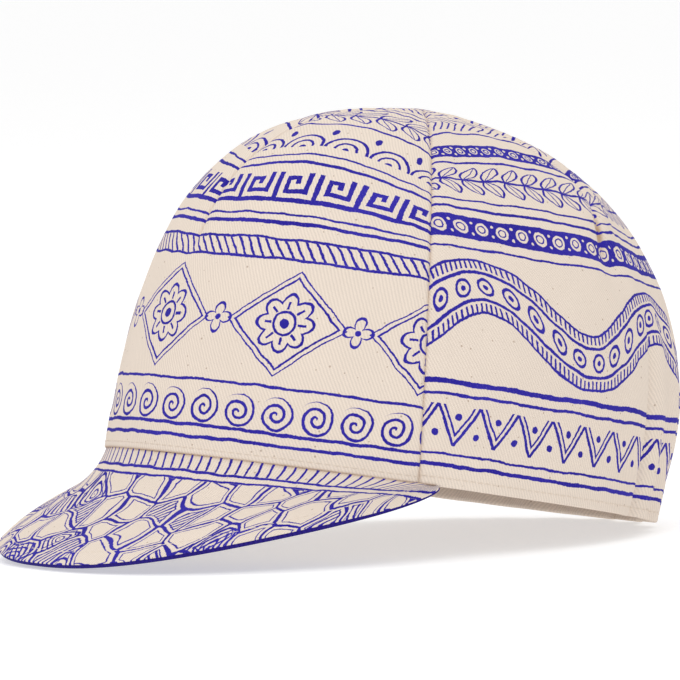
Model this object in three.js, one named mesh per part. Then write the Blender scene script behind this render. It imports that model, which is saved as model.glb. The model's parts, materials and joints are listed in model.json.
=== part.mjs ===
import * as THREE from 'three';

// Cycling cap of printed cotton twill with a short turned-down peak.
// Three panels meet at the top: one in front and two behind, joined by seams.
// A sewn dart runs down the middle of each panel, and the back edge is gathered.
// Millimetres, +Z up. The front faces -Y and the wearer's left side is +X.
// The crown is shaped in a frame whose floor is the plane of its lower edge,
// then the whole cap is tipped back until the peak and the back edge rest level.

// Head opening, as distances from the point where the ears are
const opening = { front: 86, back: 114, side: 75.5 };
// Crown above the lower edge, and how square its side views are (2 is an ellipse)
const crown = { height: 125.5, squareFront: 2.82, squareSide: 2.28, squareBack: 2.68 };
crown.leanBack = 7;
crown.sideFullness = 0.035;
crown.fullestBelow = 0.8;
crown.topSlope = 0.03;
crown.topClimb = 0.993;
const cloth = { wall: 1.5, gap: 0.3 };

// Seams and darts: turn is the angle from the front round to the left, in degrees
const frontSeam = { turnTop: 62.5, turnHem: 71, bend: 2.5 };
const frontDart = { turn: 0, endClimb: 0.36 };
const rearDart = { turnTop: 140, turnEnd: 131, endClimb: 0.45, straightFrom: 0.65 };
const groove = { depth: 0.9, width: 3.2, fadeBelow: 0.05, fadeAbove: 0.03 };
const pucker = { depth: 2.2, halfWidth: 6.3, halfHeight: 9, below: 2 };

// Between two sewn lines the cloth lies flatter than the head shape, or fuller in front,
// most at one height
const flatness = { front: -1.6, side: 0.5, back: 3.3, climb: 0.5, spread: 0.18 };

// Gathers that the elastic makes along the back edge, and how it draws them in
const gathers = { fromTurn: 141, period: 9.75, depth: 3.6, rise: 2.2, fadeClimb: 0.47 };
gathers.start = { from: 0.97, to: 1.06 };
gathers.pinch = { depth: 3.8, climb: 0.22, from: 0.5, to: 1.3 };

// Peak: the outer edge slopes down to the front and arches a little at the sides,
// and the cover is hollow beside the crown
const peak = { cornerTurn: 75, halfWidth: 78.5, cornerForward: 9, reach: 119.5, drop: 40.6 };
peak.roundness = 2.4;
peak.cornerClosing = 24;
peak.hollow = 5.2;
peak.sideLift = 3.7;
peak.edgeLift = 1.7;
peak.guideFlare = 0.42;
peak.layer = 1.2;
peak.endShare = 0.985;

// Mesh steps across and up each piece
const rows = { crown: 15, peak: 7 };
const columns = { front: 22, rearSide: 10, rearBack: 26, peak: 30 };

const cream = { color: 0xe8dccb, roughness: 0.92, metalness: 0 };
const blue = { color: 0x2a1e8c, roughness: 0.9, metalness: 0 };

const radians = (degrees) => THREE.MathUtils.degToRad(degrees);
const mix = THREE.MathUtils.lerp;
const bump = (distance, width) => Math.exp(-((distance / width) ** 2));
const fade = (value, from, to) => 1 - THREE.MathUtils.smoothstep(value, from, to);
// Shares that are 0 at both ends and 1 in between: a third of the way, and halfway
const hollowAt = (share) => (27 / 4) * share * (1 - share) ** 2;
const archAt = (share) => 4 * share * (1 - share);

// Distance from the ear point to the lower edge, in a given turn
function reachAt(turn) {
  const forward = Math.cos(turn) > 0 ? opening.front : opening.back;
  return 1 / Math.hypot(Math.cos(turn) / forward, Math.sin(turn) / opening.side);
}

function squarenessAt(turn) {
  const end = Math.cos(turn) > 0 ? crown.squareFront : crown.squareBack;
  return mix(crown.squareSide, end, Math.cos(turn) ** 2);
}

// Where the front seam and the rear dart stand at a given share of the climb
function frontSeamTurn(climb) {
  return radians(mix(frontSeam.turnTop, frontSeam.turnHem, (1 - climb) ** frontSeam.bend));
}

function rearDartTurn(climb) {
  const way = THREE.MathUtils.smoothstep(climb, rearDart.endClimb, rearDart.straightFrom);
  return radians(mix(rearDart.turnEnd, rearDart.turnTop, way));
}

// How much of a sewn line's groove there is at a distance from it: darts fade below their end
function grooveAt(side, climb, line, spread) {
  const sewn = 1 - fade(climb, line.endClimb - groove.fadeBelow, line.endClimb + groove.fadeAbove);
  return sewn * bump((side - line.turn) * spread, groove.width);
}

// Where a rear dart ends, the cloth it takes in makes a small dimple
function dimpleAt(side, climb, dart, spread) {
  const below = (dart.endClimb - climb) * crown.height * Math.PI / 2 - pucker.below;
  return bump((side - dart.turn) * spread, pucker.halfWidth) * bump(below, pucker.halfHeight);
}

// Soft pleats between the two outer gathers, deepest at the lower edge
function gatherFolds(turn, climb) {
  const fromBack = Math.PI - Math.abs(turn);
  const span = Math.PI - radians(gathers.fromTurn);
  const inside = fade(fromBack / span, gathers.start.from, gathers.start.to);
  const wave = Math.cos((fromBack / radians(gathers.period)) * 2 * Math.PI + Math.PI);
  const fold = gathers.rise + gathers.depth * (wave - 1) / 2;
  const { depth, climb: pinchClimb, from, to } = gathers.pinch;
  const drawnIn = depth * fade(climb, 0, pinchClimb) * fade(fromBack / span, from, to);
  return fade(climb, 0, gathers.fadeClimb) * inside * fold - drawnIn;
}

// Height of the cloth over the plain head shape
function relief(turn, climb, spread) {
  const side = Math.abs(turn);
  const seam = frontSeamTurn(climb);
  const dart = { turn: rearDartTurn(climb), endClimb: rearDart.endClimb };
  const lines = [
    { turn: seam, endClimb: -1 },
    { turn: Math.PI, endClimb: -1 },
    { turn: radians(frontDart.turn), endClimb: frontDart.endClimb },
    dart,
  ];
  const nearest = Math.max(...lines.map((line) => grooveAt(side, climb, line, spread)));
  const gores = [
    { from: 0, to: seam, depth: flatness.front },
    { from: seam, to: dart.turn, depth: flatness.side },
    { from: dart.turn, to: Math.PI, depth: flatness.back },
  ];
  const gore = gores.find(({ to }) => side <= to) ?? gores.at(-1);
  const across = Math.sin((Math.PI * (side - gore.from)) / (gore.to - gore.from)) ** 2;
  return gatherFolds(turn, climb)
    - gore.depth * across * bump(climb - flatness.climb, flatness.spread)
    - groove.depth * nearest
    - pucker.depth * dimpleAt(side, climb, dart, spread);
}

// Plain head shape: turn goes round, climb goes from the lower edge (0) to the top (1),
// and proudAt says how far the cloth stands over it there
function crownPoint(turn, climb, proudAt) {
  const lift = climb * Math.PI / 2;
  const power = squarenessAt(turn);
  const scale = (Math.cos(lift) ** power + Math.sin(lift) ** power) ** (-1 / power);
  const out = Math.cos(lift) * scale;
  const up = Math.sin(lift) * scale;
  const swelling = Math.sin(Math.PI * Math.min(up / crown.fullestBelow, 1));
  const radius = reachAt(turn) * out * (1 + crown.sideFullness * Math.sin(turn) ** 2 * swelling);
  const proud = proudAt(turn, climb, radius);
  const across = radius + proud * Math.cos(lift);
  return new THREE.Vector3(
    across * Math.sin(turn),
    -across * Math.cos(turn) + crown.leanBack * up,
    crown.height * (up - crown.topSlope * archAt(out)) + proud * Math.sin(lift),
  );
}

// Outward direction of a surface given by two shares, by small steps that stay on it
function outwardAt(surface, u, v) {
  const step = 1e-3;
  const alongU = surface(Math.min(u + step, 1), v).sub(surface(Math.max(u - step, 0), v));
  const alongV = surface(u, Math.min(v + step, 1)).sub(surface(u, Math.max(v - step, 0)));
  return alongU.cross(alongV).normalize();
}

// Closed sheet: an outer face, an inner face and the strip round their edge.
// depthFrom and depthTo are the distances of the two faces below the surface,
// square to its plain guide surface, so that neighbours meet evenly at their edges.
function sheet({ surface, guide }, uSteps, vSteps, depthFrom, depthTo) {
  const wide = uSteps.length;
  const high = vSteps.length;
  const places = [];
  for (const depth of [depthFrom, depthTo]) {
    for (const v of vSteps) {
      for (const u of uSteps) {
        const point = surface(u, v).addScaledVector(outwardAt(guide, u, v), -depth);
        places.push(point.x, point.y, point.z);
      }
    }
  }
  const outer = (column, row) => row * wide + column;
  const inner = (column, row) => wide * high + outer(column, row);
  const faces = [];
  const quad = (a, b, c, d) => faces.push(a, b, c, a, c, d);
  for (let row = 0; row < high - 1; row += 1) {
    for (let column = 0; column < wide - 1; column += 1) {
      const [right, above] = [column + 1, row + 1];
      quad(outer(column, row), outer(right, row), outer(right, above), outer(column, above));
      quad(inner(column, row), inner(column, above), inner(right, above), inner(right, row));
    }
  }
  const top = high - 1;
  for (let column = 0; column < wide - 1; column += 1) {
    const right = column + 1;
    quad(outer(column, 0), inner(column, 0), inner(right, 0), outer(right, 0));
    quad(outer(column, top), outer(right, top), inner(right, top), inner(column, top));
  }
  const last = wide - 1;
  for (let row = 0; row < high - 1; row += 1) {
    const above = row + 1;
    quad(outer(0, row), outer(0, above), inner(0, above), inner(0, row));
    quad(outer(last, row), inner(last, row), inner(last, above), outer(last, above));
  }
  const geometry = new THREE.BufferGeometry();
  geometry.setAttribute('position', new THREE.Float32BufferAttribute(places, 3));
  geometry.setIndex(faces);
  geometry.computeVertexNormals();
  return geometry;
}

const evenSteps = (count, from = 0, to = 1) =>
  Array.from({ length: count + 1 }, (_, index) => mix(from, to, index / count));

// A crown panel between two lines, held back from both by half the gap
function crownPanel(fromLine, toLine) {
  const faceWith = (proudAt) => (u, v) => {
    const climb = v * crown.topClimb;
    const from = fromLine(climb);
    const to = toLine(climb);
    const radius = reachAt((from + to) / 2) * Math.cos((climb * Math.PI) / 2);
    const inset = cloth.gap / 2 / radius;
    return crownPoint(mix(from + inset, to - inset, u), climb, proudAt);
  };
  return { surface: faceWith(relief), guide: faceWith(() => 0) };
}

const frontPanel = crownPanel((climb) => -frontSeamTurn(climb), frontSeamTurn);
const leftRearPanel = crownPanel(frontSeamTurn, () => Math.PI);
const rightRearPanel = crownPanel(() => -Math.PI, (climb) => -frontSeamTurn(climb));

// Rear panels take closer columns behind, where the gathers are
const beforeGathers = 0.03;
const sideShare = (gathers.fromTurn - frontSeam.turnHem) / (180 - frontSeam.turnHem);
const gatherShare = sideShare - beforeGathers;
const rearSteps = [
  ...evenSteps(columns.rearSide, 0, gatherShare).slice(0, -1),
  ...evenSteps(columns.rearBack, gatherShare, 1),
];
const mirroredRearSteps = rearSteps.map((share) => 1 - share).reverse();

// Where the peak is sewn on, and how far forward its edge is there: 0 at a corner, 1 in the middle
function peakRoot(u) {
  const way = mix(peak.endShare, -peak.endShare, u);
  const turn = radians(peak.cornerTurn) * way;
  const forward = Math.abs(Math.cos((way * Math.PI) / 2)) ** (2 / peak.roundness);
  const across = reachAt(turn) * Math.sin(turn);
  const root = new THREE.Vector3(across, -reachAt(turn) * Math.cos(turn), -cloth.gap);
  return { way, forward, root };
}

// Upper face of the peak: u runs from the wearer's left corner to the right, v outwards
function peakSurface(u, v) {
  const { way, forward, root } = peakRoot(u);
  const wide = Math.abs(Math.sin((way * Math.PI) / 2)) ** (2 / peak.roundness);
  const edge = new THREE.Vector3(
    Math.sign(way) * peak.halfWidth * wide,
    -mix(peak.cornerForward, peak.reach, forward),
    -cloth.gap - peak.drop * forward,
  ).lerp(root, Math.abs(way) ** peak.cornerClosing);
  const hollow = peak.hollow * hollowAt(v) * Math.sqrt(forward);
  const lift = (peak.sideLift * archAt(v) + peak.edgeLift * v) * archAt(forward);
  const inward = new THREE.Vector3(0, hollow, -hollow).multiplyScalar(Math.SQRT1_2);
  return root.lerp(edge, v).add(inward).add(new THREE.Vector3(0, 0, lift));
}

// A plain cone under the peak, which gives its thickness one even direction
function peakGuide(u, v) {
  const { forward, root } = peakRoot(u);
  const flare = new THREE.Vector3(root.x, root.y, 0).multiplyScalar(peak.guideFlare * v);
  return root.add(flare).add(new THREE.Vector3(0, 0, -peak.drop * forward * v));
}

function piece(name, geometry, finish) {
  const mesh = new THREE.Mesh(geometry, new THREE.MeshStandardMaterial(finish));
  mesh.name = name;
  return mesh;
}

const crownRows = evenSteps(rows.crown);
const peakRows = evenSteps(rows.peak);
const peakColumns = evenSteps(columns.peak);
const peakSheet = { surface: peakSurface, guide: peakGuide };
const undersideFrom = peak.layer + cloth.gap;
const undersideTo = undersideFrom + peak.layer;

const crownSheet = (panel, steps) => sheet(panel, steps, crownRows, 0, cloth.wall);
const panels = [
  piece('front_panel', crownSheet(frontPanel, evenSteps(columns.front)), cream),
  piece('left_rear_panel', crownSheet(leftRearPanel, rearSteps), cream),
  piece('right_rear_panel', crownSheet(rightRearPanel, mirroredRearSteps), cream),
];
const peakCover = (from, to) => sheet(peakSheet, peakColumns, peakRows, from, to);
const peakPieces = [
  piece('peak_top', peakCover(0, peak.layer), cream),
  piece('peak_underside', peakCover(undersideFrom, undersideTo), blue),
];

// Lowest height of some pieces once the cap is tipped by an angle about X
function lowest(pieces, angle) {
  let height = Infinity;
  for (const { geometry } of pieces) {
    const place = geometry.attributes.position;
    for (let index = 0; index < place.count; index += 1) {
      const z = place.getY(index) * Math.sin(angle) + place.getZ(index) * Math.cos(angle);
      height = Math.min(height, z);
    }
  }
  return height;
}

// The tip at which the peak and the back edge stand on one level, by halving
function restingAngle() {
  let low = radians(-30);
  let high = 0;
  for (let pass = 0; pass < 40; pass += 1) {
    const middle = (low + high) / 2;
    if (lowest(peakPieces, middle) > lowest(panels, middle)) low = middle;
    else high = middle;
  }
  return (low + high) / 2;
}

const cap = new THREE.Group();
const tipped = new THREE.Group();
tipped.add(...panels, ...peakPieces);
tipped.rotation.x = restingAngle();
cap.add(tipped);
cap.updateMatrixWorld(true);

// The origin is the middle of the bounding box's floor
const box = new THREE.Box3().setFromObject(tipped, true);
const middle = box.getCenter(new THREE.Vector3());
tipped.position.set(-middle.x, -middle.y, -box.min.z);
cap.updateMatrixWorld(true);

export default cap;
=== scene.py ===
"""Cycling cap of printed cotton twill: three crown panels with darts, and a short peak."""

import json
import math
from types import SimpleNamespace as Sizes

import bmesh
import bpy
import numpy as np
from mathutils import Matrix, Vector


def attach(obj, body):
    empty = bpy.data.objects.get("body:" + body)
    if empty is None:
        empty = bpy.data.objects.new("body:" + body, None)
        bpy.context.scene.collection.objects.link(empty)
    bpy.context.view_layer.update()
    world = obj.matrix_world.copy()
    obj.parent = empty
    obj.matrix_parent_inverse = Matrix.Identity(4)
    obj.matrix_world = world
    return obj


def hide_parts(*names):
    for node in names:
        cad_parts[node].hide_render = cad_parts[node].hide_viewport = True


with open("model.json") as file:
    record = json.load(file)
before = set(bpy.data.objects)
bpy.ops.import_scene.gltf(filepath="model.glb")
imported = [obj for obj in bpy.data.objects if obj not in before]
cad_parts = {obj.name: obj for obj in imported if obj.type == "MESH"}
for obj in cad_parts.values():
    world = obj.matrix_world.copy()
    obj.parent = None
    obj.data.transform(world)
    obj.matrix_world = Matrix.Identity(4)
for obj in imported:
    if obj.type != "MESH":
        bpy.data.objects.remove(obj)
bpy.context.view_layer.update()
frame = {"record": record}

# The cap is shaped in millimetres, in a frame whose floor is the plane of its lower edge,
# and then placed in metres. The front faces -Y, and a turn goes from the front round
# to the wearer's left. A climb goes from 0 at the lower edge to 1 at the top.
MM = 0.001
OPENING = Sizes(front=86, back=114, side=75.5)
CROWN = Sizes(height=125.5, square_front=2.82, square_side=2.28, square_back=2.68)
LEAN_BACK = 7
SIDE_FULLNESS = Sizes(share=0.035, up_to=0.8)
TOP_SLOPE = 0.03
ARC_SHARE = 1.4
WALL = 1.3
FRONT_SEAM = Sizes(turn_top=62.5, turn_hem=71, bend=2.5)
FRONT_DART_END = 0.36
REAR_DART = Sizes(turn_top=140, turn_end=131, end=0.45, straight_from=0.65)
DART_START = Sizes(below=0.03, above=0.02)
FLATNESS = Sizes(front=-1.6, side=0.5, back=3.3, climb=0.5, spread=0.18)

# Pleats that the elastic draws into the back edge. Pairs say where something starts and is full.
GATHERS = Sizes(from_turn=141, ends=(0.97, 1.06), period=9.75, depth=3.6, rise=2.2,
                fade=0.47, uneven=0.18, uneven_waves=11,
                pinch=3.8, pinch_climb=0.22, pinch_ends=(0.5, 1.3))
SWAY = Sizes(turn=0.35, climb_waves=7, side_start=3, full_at=0.3)
OUTER_FOLD = Sizes(deep=1.7, wide=2, mm_round=110, ends=(0.1, 0.5))

# Low relief of the cloth: depths and distances from the line or point that it belongs to
SEAM = Sizes(groove=0.75, groove_wide=0.75, dip=0.5, dip_wide=3.4,
             flap=0.22, flap_edge=(6.5, 8.5), pucker=0.16, pucker_at=3.2, pucker_wide=2.6)
PUCKER = Sizes(beat=1.45, drift=2.1, drift_beat=0.31, swell_beat=0.23, swell_start=1)
REAR_DIMPLE = Sizes(deep=2, wide=6.3, below=2, high=9)
FRONT_DIMPLE = Sizes(deep=0.7, wide=5, below=1, high=7)
FAN = Sizes(deep=0.42, beat=1.55, slant=0.75, full_at=1.5,
            aside=5, wide=5.5, above=12, high=15)
TUCK = Sizes(plain=0.5, extra=0.9, above=4, high=8, edge=(-0.8, 0.5),
             fades_in=7, furthest=60)
# Painted shadow in the valley of the rear dart's tuck, not relief: strength, place and width across
# the dart, place and height above its end
TUCK_SHADE = Sizes(strength=1.5, inside=0.1, wide=0.8, above=8, high=6)
HEM = Sizes(edge=(12, 14.5), proud=0.18, needle=0.16, needle_at=3, needle_wide=0.55)
TOP = Sizes(edge=(2, 12), sunk=0.2, pit=0.5, pit_wide=1.6)

# Shallow waves of the worn cloth: depth, beats round and up, start, and the swell's beat and start
WAVES = [(0.22, 0.11, 0.06, 0, 0.09, 1.1),
         (0.12, 0.29, -0.13, 2, 0.21, 0)]
WAVE_MM_ROUND = 90

# The inside of the cloth: its turned-in edges, and how closely it follows the outside
INSIDE = Sizes(fold=0.55, flap_edge=(6, 7), hem_edge=(12, 13), hem_start=1,
               loose=0.8, plain_from=(12.2, 12.9))
# Darkening of the seam lines, partly the seams' own darker thread tone and partly painted shade in
# their grooves, and painted shadow lines where the crown's edge meets and overlaps the peak:
# strength and widths
SEAM_TONE_AND_SHADE = Sizes(strength=0.45, wide=0.5, joint_wide=0.5, peak_wide=0.8)

PEAK = Sizes(corner_turn=75, half_width=78.5, corner_forward=9, reach=119.5, drop=40.6,
             roundness=2.4, corner_closing=24, hollow=5.2, side_lift=3.7, edge_lift=1.7,
             guide_flare=0.42, end_share=0.985)
PEAK_ROOT = Sizes(inset=0.35, up=0.45)
PEAK_EDGE = Sizes(share=0.03, before=0.01, fold=0.35, full_from=(0.4, 3),
                  lip=0.1, lip_at=1.2, lip_wide=1.6, lower_round=1)
PEAK_THICK = 1.15
PEAK_GAP = 0.02
CORNER_THICK = Sizes(share=0.35, ends=(0.02, 0.55))

# Spacing of the meshes
ROW_STEP = 1.2
HEM_ROWS = [0, 0.12, 0.35, 0.7]
FIRST_ROW = 1.3
MEASURED_TURN = 1
FINE_STEPS = 2000
FRONT_COLUMNS = 92
SIDE_COLUMNS = 84
BACK_COLUMNS = 80
PANEL_CROWDING = 0.62
PEAK_MESH = Sizes(columns=168, crowding=0.5, rows=52, edge_rows=12)
WELD = 2e-6

# Cloth coordinates: how the flat cloth takes over above a dart's end, and the size of a UV unit
UNROLLED = Sizes(below=0.03, above=0.25, least_radius=4)
UV_PER_MM = 0.01

# Rows of stitches: lengths along the row, heights over the cloth and places up from an edge
STITCH = Sizes(pitch=2.9, long=2.3, wide=0.34, high=0.26, proud=0.04, probe=0.8,
               above_joint=2.2, above_hem=3, from_edge=6, sides=8, rings=6)

# Lines drawn on the front and on the sides, as height above the lower edge and width
FRONT_LINES = [(6, 1.1), (24.6, 0.9), (66.6, 0.9), (73.4, 0.9), (79, 1.3), (82, 0.8),
               (103, 1.2), (107, 0.8), (128, 1), (149, 1.2), (153, 0.8), (168, 1)]
SIDE_LINES = [(7, 1.2), (10.5, 0.8), (30, 1), (34, 1.6), (80, 0.8), (96, 1.1), (100, 0.8),
              (119, 1), (136, 1), (152, 1.2), (156, 0.8), (168, 1)]


def mix(first, last, share):
    return first + (last - first) * share


def smooth(value, low, high):
    share = np.clip((value - low) / (high - low), 0, 1)
    return share * share * (3 - 2 * share)


def bump(distance, width):
    return np.exp(-(distance / width) ** 2)


def arch(share):
    """Rises from 0 to 1 halfway, and falls back to 0."""
    return 4 * share * (1 - share)


def hollow_at(share):
    """Rises fast from 0 to 1 at a third of the way, and dies out slowly."""
    return 27 / 4 * share * (1 - share) ** 2


def strongest(layers):
    return np.maximum.reduce(list(layers))


# Where the cap stands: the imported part's own head opening gives its tip and place
head_opening = next(m for m in frame["record"]["mounts"] if m["name"] == "head_opening")
TIP = math.atan2(head_opening["axis"][1], -head_opening["axis"][2])
TURN_BACK = Matrix.Rotation(TIP, 3, "X")
OPENING_MIDDLE = Vector((0, (OPENING.back - OPENING.front) / 2, 0))
STAND = Vector(head_opening["pos_m"]) - TURN_BACK @ OPENING_MIDDLE * MM


def placed(points):
    """Points of the cap's own frame, in millimetres, as metres where it stands."""
    return points @ np.array(TURN_BACK).T * MM + np.array(STAND)


# Crown


def reach(turn):
    """Distance from the ear point to the lower edge."""
    ahead = np.where(np.cos(turn) > 0, OPENING.front, OPENING.back)
    return 1 / np.hypot(np.cos(turn) / ahead, np.sin(turn) / OPENING.side)


def front_seam(climb):
    low = (1 - climb) ** FRONT_SEAM.bend
    return np.radians(mix(FRONT_SEAM.turn_top, FRONT_SEAM.turn_hem, low))


def rear_dart(climb):
    way = smooth(climb, REAR_DART.end, REAR_DART.straight_from)
    return np.radians(mix(REAR_DART.turn_end, REAR_DART.turn_top, way))


def profile(turn, climb):
    """Share of the way out and of the height, at a climb from the lower edge to the top."""
    lift = climb * np.pi / 2
    end = np.where(np.cos(turn) > 0, CROWN.square_front, CROWN.square_back)
    power = mix(CROWN.square_side, end, np.cos(turn) ** 2)
    across = np.clip(np.cos(lift), 0, 1)
    scale = (across ** power + np.sin(lift) ** power) ** (-1 / power)
    return across * scale, np.sin(lift) * scale


def radius_at(turn, climb):
    out, up = profile(turn, climb)
    low_share = np.minimum(up / SIDE_FULLNESS.up_to, 1)
    fullness = SIDE_FULLNESS.share * np.sin(turn) ** 2 * np.sin(np.pi * low_share)
    return reach(turn) * out * (1 + fullness)


def crown_point(turn, climb, proud=0):
    """Place on the crown, standing proud of the plain head shape."""
    out, up = profile(turn, climb)
    lift = climb * np.pi / 2
    across = radius_at(turn, climb) + proud * np.cos(lift)
    slope = TOP_SLOPE * arch(out)
    height = CROWN.height * (up - slope) + proud * np.sin(lift)
    ahead = -across * np.cos(turn) + LEAN_BACK * up
    return np.stack([across * np.sin(turn), ahead, height], axis=-1)


def walk(points, axis):
    """Length walked along one axis of a grid of points."""
    steps = np.linalg.norm(np.diff(points, axis=axis), axis=-1)
    start = np.zeros_like(np.take(steps, [0], axis=axis))
    return np.concatenate([start, np.cumsum(steps, axis=axis)], axis=axis)


def below_dart(dart_end, climb):
    """Length of cloth down from the end of a dart."""
    return (dart_end - climb) * CROWN.height * ARC_SHARE


def dart_sewn(dart_end, climb):
    """How far a dart is sewn: 0 below its end, 1 above."""
    return smooth(climb, dart_end - DART_START.below, dart_end + DART_START.above)


def gather_folds(turn, climb):
    """Soft pleats that the elastic draws into the back edge."""
    from_back = np.pi - np.abs(turn)
    span = np.pi - math.radians(GATHERS.from_turn)
    inside = 1 - smooth(from_back / span, *GATHERS.ends)
    sway = SWAY.turn * np.sin(SWAY.climb_waves * climb + SWAY.side_start * np.sign(turn))
    sway = sway * smooth(climb, 0, SWAY.full_at)
    wave = np.cos(from_back / math.radians(GATHERS.period) * 2 * np.pi + np.pi + sway)
    uneven = 1 + GATHERS.uneven * np.sin(GATHERS.uneven_waves * turn)
    fold = GATHERS.rise + GATHERS.depth * (wave - 1) / 2 * uneven
    drawn_in = 1 - smooth(climb, 0, GATHERS.pinch_climb)
    drawn_in = drawn_in * (1 - smooth(from_back / span, *GATHERS.pinch_ends))
    strength = 1 - smooth(climb, 0, GATHERS.fade)
    outer_fold = bump((from_back - span) * OUTER_FOLD.mm_round, OUTER_FOLD.wide)
    outer_fold = outer_fold * (1 - smooth(climb, *OUTER_FOLD.ends))
    return strength * inside * fold - GATHERS.pinch * drawn_in - OUTER_FOLD.deep * outer_fold


def seam_distances(turn, climb):
    """Distance from each sewn line, with how far that line is sewn at this climb."""
    side = np.abs(turn)
    spread = radius_at(turn, climb)
    whole = np.ones_like(climb)
    return [
        (np.abs(side - front_seam(climb)) * spread, whole),
        ((np.pi - side) * spread, whole),
        (side * spread, dart_sewn(FRONT_DART_END, climb)),
        (np.abs(side - rear_dart(climb)) * spread, dart_sewn(REAR_DART.end, climb)),
    ]


def seam_relief(turn, climb, along):
    """Sunk seams, with the ridges of their allowances and fine puckers beside them."""
    lines = seam_distances(turn, climb)
    groove = strongest(sewn * bump(gap, SEAM.groove_wide) for gap, sewn in lines)
    dip = strongest(sewn * bump(gap, SEAM.dip_wide) for gap, sewn in lines)
    flap = strongest(sewn * (1 - smooth(gap, *SEAM.flap_edge)) for gap, sewn in lines)
    tight = strongest(sewn * bump(gap - SEAM.pucker_at, SEAM.pucker_wide) for gap, sewn in lines)
    drift = PUCKER.drift * np.sin(along * PUCKER.drift_beat)
    swell = np.sin(along * PUCKER.swell_beat + PUCKER.swell_start)
    pull = np.sin(along * PUCKER.beat + drift) * swell
    return (-SEAM.groove * groove - SEAM.dip * dip + SEAM.flap * flap
            + SEAM.pucker * tight * pull)


def gore_relief(side, climb):
    """How much each gore differs from the head shape at mid height, between its seams."""
    dart = rear_dart(climb)
    seam = front_seam(climb)
    gores = [(FLATNESS.front, side / seam), (FLATNESS.side, (side - seam) / (dart - seam)),
             (FLATNESS.back, (side - dart) / (np.pi - dart))]
    middle = bump(climb - FLATNESS.climb, FLATNESS.spread)
    return -sum(flat * np.sin(np.pi * np.clip(share, 0, 1)) ** 2 * middle for flat, share in gores)


def dimple(aside, below, size):
    return size.deep * bump(aside, size.wide) * bump(below - size.below, size.high)


def dart_end_relief(side, climb, along, spread):
    """Dimples where the darts end, and the tuck and fanned folds at the rear one."""
    below = below_dart(REAR_DART.end, climb)
    aside = (side - rear_dart(climb)) * spread
    fan = np.sin(along * FAN.beat + FAN.slant * aside) * smooth(aside, 0, FAN.full_at)
    fan = fan * bump(aside - FAN.aside, FAN.wide) * bump(below + FAN.above, FAN.high)
    tuck = TUCK.plain + TUCK.extra * bump(below + TUCK.above, TUCK.high)
    tuck = tuck * dart_sewn(REAR_DART.end, climb) * smooth(aside, *TUCK.edge)
    tuck = tuck * np.exp(-np.clip(aside, 0, TUCK.furthest) / TUCK.fades_in)
    sunk = dimple(aside, below, REAR_DIMPLE)
    front_below = below_dart(FRONT_DART_END, climb)
    return FAN.deep * fan + tuck - sunk - dimple(side * spread, front_below, FRONT_DIMPLE)


def wave_relief(turn, along):
    round_way = turn * WAVE_MM_ROUND
    height = 0
    for deep, round_beat, up_beat, start, swell_beat, swell_start in WAVES:
        way = round_way * round_beat + along * up_beat + start
        height = height + deep * np.sin(way) * np.sin(along * swell_beat + swell_start)
    return height


def relief(turn, climb, along):
    """Height of the cloth over the plain head shape."""
    side = np.abs(turn)
    spread = radius_at(turn, climb)
    height = seam_relief(turn, climb, along) + gore_relief(side, climb)
    height = height + dart_end_relief(side, climb, along, spread) + wave_relief(turn, along)
    hem = 1 - smooth(along, *HEM.edge)
    needle = bump(along - HEM.needle_at, HEM.needle_wide)
    height = height + HEM.proud * hem - HEM.needle * needle
    near_top = 1 - smooth(spread, *TOP.edge)
    height = mix(height, -TOP.sunk - TOP.pit * bump(spread, TOP.pit_wide), near_top)
    return height + gather_folds(turn, climb)


def even_climbs(step):
    """Climbs from edge to top a step apart on the cloth, closer where the hem is rolled."""
    fine = np.linspace(0, 1, FINE_STEPS)
    length = walk(crown_point(np.full_like(fine, MEASURED_TURN), fine), 0)
    count = int(length[-1] / step)
    wanted = np.concatenate([HEM_ROWS, np.linspace(FIRST_ROW, length[-1], count)])
    return np.interp(wanted, length, fine)


def crowded(count, crowding=PANEL_CROWDING):
    """Shares from 0 to 1 that stand closer at both ends."""
    even = np.linspace(0, 1, count + 1)
    return even - crowding * np.sin(2 * np.pi * even) / (2 * np.pi)


def lobes(lines, counts, climbs):
    """Turns of a grid whose columns are shared out between lines, and each line's column."""
    parts = []
    stops = [0]
    for low, high, count in zip(lines, lines[1:], counts):
        share = crowded(count)[None, :]
        part = mix(low(climbs)[:, None], high(climbs)[:, None], share)
        parts.append(part if not parts else part[:, 1:])
        stops.append(stops[-1] + count)
    return np.concatenate(parts, axis=1), stops


def cloth_places(turns, climbs, stops, dart_end):
    """Flat cloth coordinates of each point, one set for the lobe on each side of the dart."""
    grid = crown_point(turns, climbs)
    across = walk(grid, 1)
    up = walk(grid, 0)
    low, dart, high = (across[:, stop][:, None] for stop in stops)
    dart_row = int(np.searchsorted(climbs[:, 0], dart_end))
    rise = np.gradient(grid[..., 2], axis=0) / np.maximum(np.gradient(up, axis=0), 1e-9)
    lean = np.sqrt(np.clip(1 - rise ** 2, 0, 1))
    spread = np.maximum(radius_at(turns, climbs), UNROLLED.least_radius)
    sets = []
    for start, stop, side in ((low, dart, -1), (dart, high, 1)):
        half = (stop - start)[dart_row] / 2
        from_middle = across - (start + stop) / 2
        x = np.where(climbs < dart_end, across - dart, from_middle + side * half)
        column = stops[0 if side < 0 else 1] + (stops[1] - stops[0]) // 2
        flat_y = up[:, column][:, None] + from_middle ** 2 * lean / (2 * spread)
        above = smooth(climbs, dart_end - UNROLLED.below, dart_end + UNROLLED.above)
        y = mix(up, flat_y, above)
        sets.append(np.stack([x, y], axis=-1))
    return sets


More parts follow.
